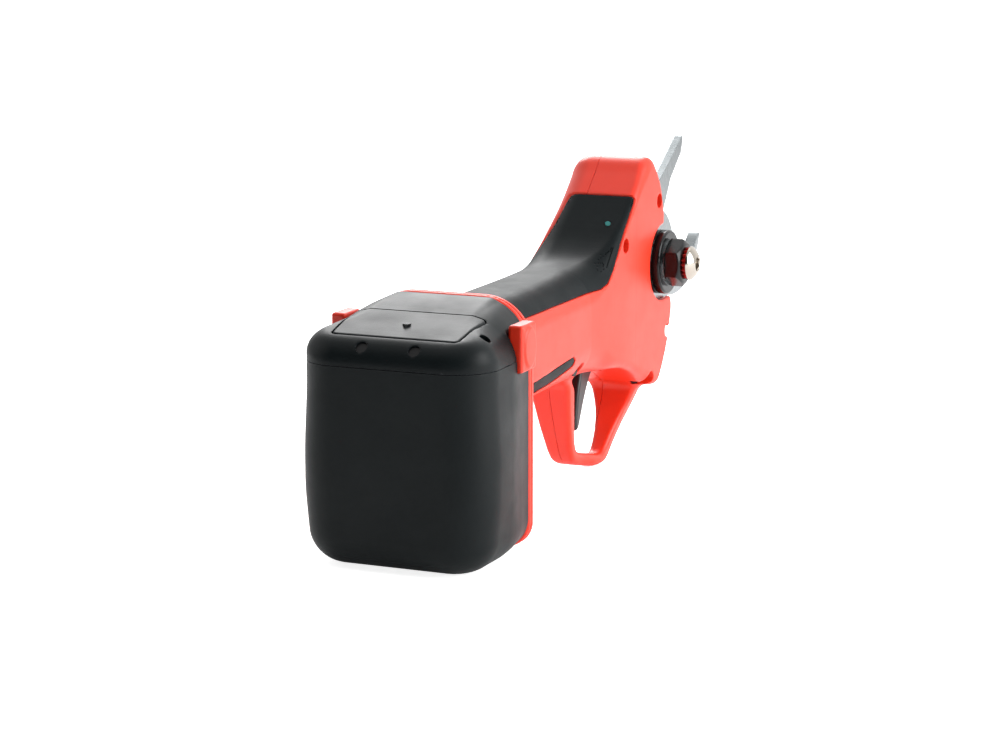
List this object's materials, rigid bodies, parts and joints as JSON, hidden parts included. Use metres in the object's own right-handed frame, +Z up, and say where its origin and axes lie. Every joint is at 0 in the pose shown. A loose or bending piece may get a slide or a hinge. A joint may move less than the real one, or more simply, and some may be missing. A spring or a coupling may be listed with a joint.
{
  "type": "cordless pruning shear",
  "caption": "Battery pruning shear with an upright pack, a soft grip, a guarded trigger, a raised head and bypass blades on a bolted side pivot.",
  "frame": {"origin": "middle of the battery pack's flat foot, on the surface the tool stands on", "axes": "+Z up, +Y forward along the grip towards the blades, +X the right side, which carries the pivot bolt"},
  "size_m": [0.0736, 0.276, 0.1243],
  "materials": {
    "battery_black": "fine moulded texture, satin",
    "window_clear": "smoked clear",
    "status_teal": "clear teal lens",
    "screw_black": "black oxide",
    "cell_sleeve": "shrink sleeve",
    "tray_black": "matte",
    "nickel": "rolled strip",
    "board_green": "solder mask",
    "capacitor": "sleeved can",
    "spring_steel": "drawn wire",
    "red_plastic": "moulded, slight orange peel",
    "grip_rubber": "soft satin rubber",
    "motor_steel": "turned",
    "rotor_copper": "copper windings on steel",
    "gear_steel": "hardened, dark",
    "head_alloy": "die cast",
    "blade_steel": "ground",
    "bush_bronze": "sintered",
    "polished_steel": "polished",
    "stack_black": "glossy black",
    "ring_red": "anodised dark red",
    "trigger_black": "satin"
  },
  "bodies": {
    "handle": {"rear_flange": "red_plastic", "shell_right": "red_plastic", "shell_left": "red_plastic", "grip_cover": "grip_rubber", "grip_strip_right": "grip_rubber", "grip_strip_left": "grip_rubber", "shell_screws": "screw_black", "status_lens": "status_teal", "terminal_block": "tray_black", "control_board": "board_green", "board_capacitors": "capacitor", "motor_can": "motor_steel", "ring_gear": "motor_steel", "output_bearing": "motor_steel", "head_frame": "head_alloy", "hook_blade": "blade_steel", "hook_screws": "screw_black", "clamp_plate": "blade_steel", "pivot_pin": "polished_steel", "thrust_disc": "stack_black", "pivot_washer": "blade_steel", "pivot_nut": "stack_black", "lock_ring": "ring_red", "dome_bolt": "polished_steel", "trigger_pin": "polished_steel", "trigger_spring": "spring_steel", "trigger_sensor": "tray_black"},
    "battery": {"battery_case": "battery_black", "battery_cap": "battery_black", "battery_panel": "battery_black", "charge_window": "window_clear", "battery_screws": "screw_black", "battery_cells": "cell_sleeve", "cell_trays": "tray_black", "cell_links": "nickel", "battery_board": "board_green", "battery_socket": "tray_black", "latch_spring_right": "spring_steel", "latch_spring_left": "spring_steel"},
    "latch_right": {"latch_right": "red_plastic"},
    "latch_left": {"latch_left": "red_plastic"},
    "blade": {"cutting_blade": "blade_steel", "crown_sector": "gear_steel", "blade_bush": "bush_bronze"},
    "carrier": {"planet_carrier": "gear_steel", "drive_pinion": "gear_steel"},
    "planet_a": {"planet_a": "gear_steel"},
    "planet_b": {"planet_b": "gear_steel"},
    "planet_c": {"planet_c": "gear_steel"},
    "rotor": {"motor_rotor": "rotor_copper"},
    "trigger": {"trigger": "trigger_black", "trigger_magnet": "gear_steel"}
  },
  "joints": [
    {"name": "blade_pivot", "type": "hinge", "parent": "handle", "child": "blade", "pos_m": [0, 0.193, 0.078], "axis": [-1, 0, 0], "range_deg": [0, 54]},
    {"name": "output_spin", "type": "hinge", "parent": "handle", "child": "carrier", "pos_m": [0, 0.15339, 0.07243], "axis": [0, 0.9903, 0.1392], "range_deg": [-216.5, 0.5]},
    {"name": "rotor_spin", "type": "hinge", "parent": "handle", "child": "rotor", "pos_m": [0, 0.13358, 0.06965], "axis": [0, 0.9903, 0.1392], "range_deg": [-973, 1]},
    {"name": "trigger_pull", "type": "hinge", "parent": "handle", "child": "trigger", "pos_m": [0, 0.151, 0.05], "axis": [-1, 0, 0], "range_deg": [0, 8], "stiffness_Nm_per_rad": 0.35, "springref_deg": -20.05},
    {"name": "battery_slide", "type": "slide", "parent": "handle", "child": "battery", "axis": [0, -1, 0], "range_m": [0, 0.03]},
    {"name": "latch_press_right", "type": "slide", "parent": "battery", "child": "latch_right", "axis": [-1, 0, 0], "range_m": [0, 0.0022], "stiffness_N_per_m": 400, "springref_m": -0.004},
    {"name": "latch_press_left", "type": "slide", "parent": "battery", "child": "latch_left", "axis": [1, 0, 0], "range_m": [0, 0.0022], "stiffness_N_per_m": 400, "springref_m": -0.004},
    {"name": "planet_a_spin", "type": "hinge", "parent": "carrier", "child": "planet_a", "pos_m": [0.00675, 0.13853, 0.07035], "axis": [0, 0.9903, 0.1392], "range_deg": [-1, 606]},
    {"name": "planet_b_spin", "type": "hinge", "parent": "carrier", "child": "planet_b", "pos_m": [-0.00337, 0.13935, 0.06456], "axis": [0, 0.9903, 0.1392], "range_deg": [-1, 606]},
    {"name": "planet_c_spin", "type": "hinge", "parent": "carrier", "child": "planet_c", "pos_m": [-0.00337, 0.13772, 0.07613], "axis": [0, 0.9903, 0.1392], "range_deg": [-1, 606]}
  ],
  "couplings": [
    {"joint": "output_spin", "follows": "blade_pivot", "ratio": -4},
    {"joint": "rotor_spin", "follows": "blade_pivot", "ratio": -18},
    {"joint": "planet_a_spin", "follows": "blade_pivot", "ratio": 11.2},
    {"joint": "planet_b_spin", "follows": "blade_pivot", "ratio": 11.2},
    {"joint": "planet_c_spin", "follows": "blade_pivot", "ratio": 11.2}
  ]
}
